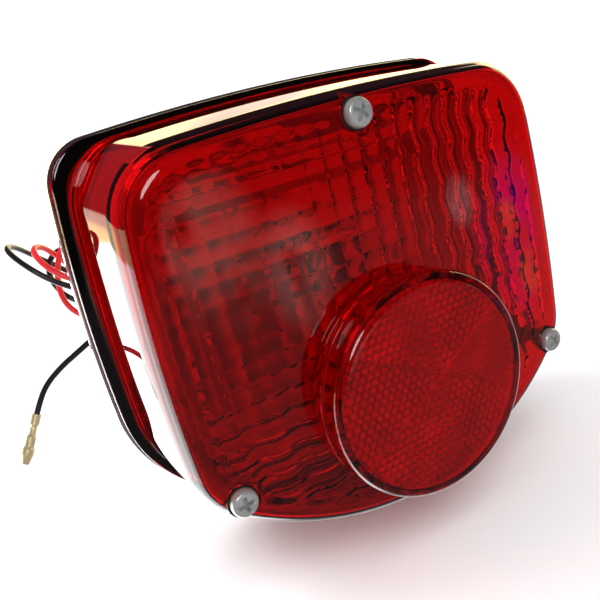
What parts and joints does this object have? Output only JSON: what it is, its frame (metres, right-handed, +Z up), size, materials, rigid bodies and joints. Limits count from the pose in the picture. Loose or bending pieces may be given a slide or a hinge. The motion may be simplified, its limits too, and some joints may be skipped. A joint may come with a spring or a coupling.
{
  "type": "tail light",
  "caption": "Motorcycle tail light: drafted red lens with a round reflex reflector, screwed through a gasket to a chromed pan with a bayonet bulb and two leads.",
  "frame": {"origin": "middle of the base pan's flat rear face, midway between the two mounting studs", "axes": "+X to the right seen from the front, -Y out of the lens's front, +Y out of the mounting face, +Z up"},
  "size_m": [0.1894, 0.1168, 0.1404],
  "materials": {
    "red_acrylic": "deep red transparent acrylic, polished",
    "reflex_acrylic": "red transparent acrylic with moulded prisms behind it",
    "reflex_backing": "red acrylic sheet, moulded prism back",
    "clear_acrylic": "clear acrylic",
    "gasket_rubber": "black sponge rubber",
    "chromed_steel": "chrome-plated pressed steel",
    "bright_aluminium": "bright anodised sheet",
    "zinc_plated_steel": "zinc-plated steel",
    "fibre_washer": "dark rubber sealing washer",
    "phenolic": "brown phenolic laminate",
    "brass": "bright brass",
    "nickel_brass": "nickel-plated brass",
    "bulb_glass": "clear blown glass",
    "bulb_vitrite": "black glass insulator",
    "solder": "lead-free solder",
    "tungsten": "tungsten wire",
    "spring_steel": "bright spring steel",
    "boot_rubber": "black moulded rubber",
    "black_pvc": "black PVC insulation",
    "red_pvc": "red PVC insulation"
  },
  "bodies": {
    "base": {"lens_gasket": "gasket_rubber", "base_pan": "chromed_steel", "lens_posts": "zinc_plated_steel", "inner_reflector": "bright_aluminium", "socket_shell": "nickel_brass", "socket_collar": "zinc_plated_steel", "socket_rivets": "nickel_brass", "socket_boot": "boot_rubber", "contact_spring": "spring_steel", "mounting_studs": "zinc_plated_steel", "black_lead": "black_pvc", "red_lead": "red_pvc", "black_terminal": "brass", "red_terminal": "brass"},
    "lens": {"lens": "red_acrylic", "reflector_disc": "reflex_acrylic", "reflector_backing": "reflex_backing", "plate_window": "clear_acrylic", "screw_washers": "fibre_washer"},
    "screw_top": {"lens_screw_top": "zinc_plated_steel"},
    "screw_left": {"lens_screw_left": "zinc_plated_steel"},
    "screw_right": {"lens_screw_right": "zinc_plated_steel"},
    "carrier": {"contact_carrier": "phenolic", "socket_contacts": "brass"},
    "bulb": {"bulb_base": "nickel_brass", "bulb_insulator": "bulb_vitrite", "bulb_contacts": "solder", "bulb_pins": "nickel_brass", "bulb_glass": "bulb_glass", "bulb_stem": "bulb_glass", "bulb_filaments": "tungsten", "filament_supports": "tungsten"}
  },
  "joints": [
    {"name": "lens_off", "type": "slide", "parent": "base", "child": "lens", "axis": [0, -1, 0], "range_m": [0, 0.07]},
    {"name": "contact_press", "type": "slide", "parent": "base", "child": "carrier", "axis": [0, 1, 0], "range_m": [0, 0.0022], "stiffness_N_per_m": 1500, "springref_m": -0.003, "deforming": ["contact_spring"]},
    {"name": "bulb_turn", "type": "hinge", "parent": "carrier", "child": "bulb", "pos_m": [0, 0, 0.012], "axis": [0, -1, 0], "range_deg": [0, 22]},
    {"name": "screw_top_turn", "type": "hinge", "parent": "lens", "child": "screw_top", "pos_m": [0, 0, 0.0558], "axis": [0, 1, 0], "continuous": true},
    {"name": "screw_left_turn", "type": "hinge", "parent": "lens", "child": "screw_left", "pos_m": [-0.0597, 0, -0.03438], "axis": [0, 1, 0], "continuous": true},
    {"name": "screw_right_turn", "type": "hinge", "parent": "lens", "child": "screw_right", "pos_m": [0.0597, 0, -0.03438], "axis": [0, 1, 0], "continuous": true}
  ],
  "couplings": [
    {"joint": "bulb_turn", "follows": "contact_press", "rad_per_m": 174.53}
  ]
}
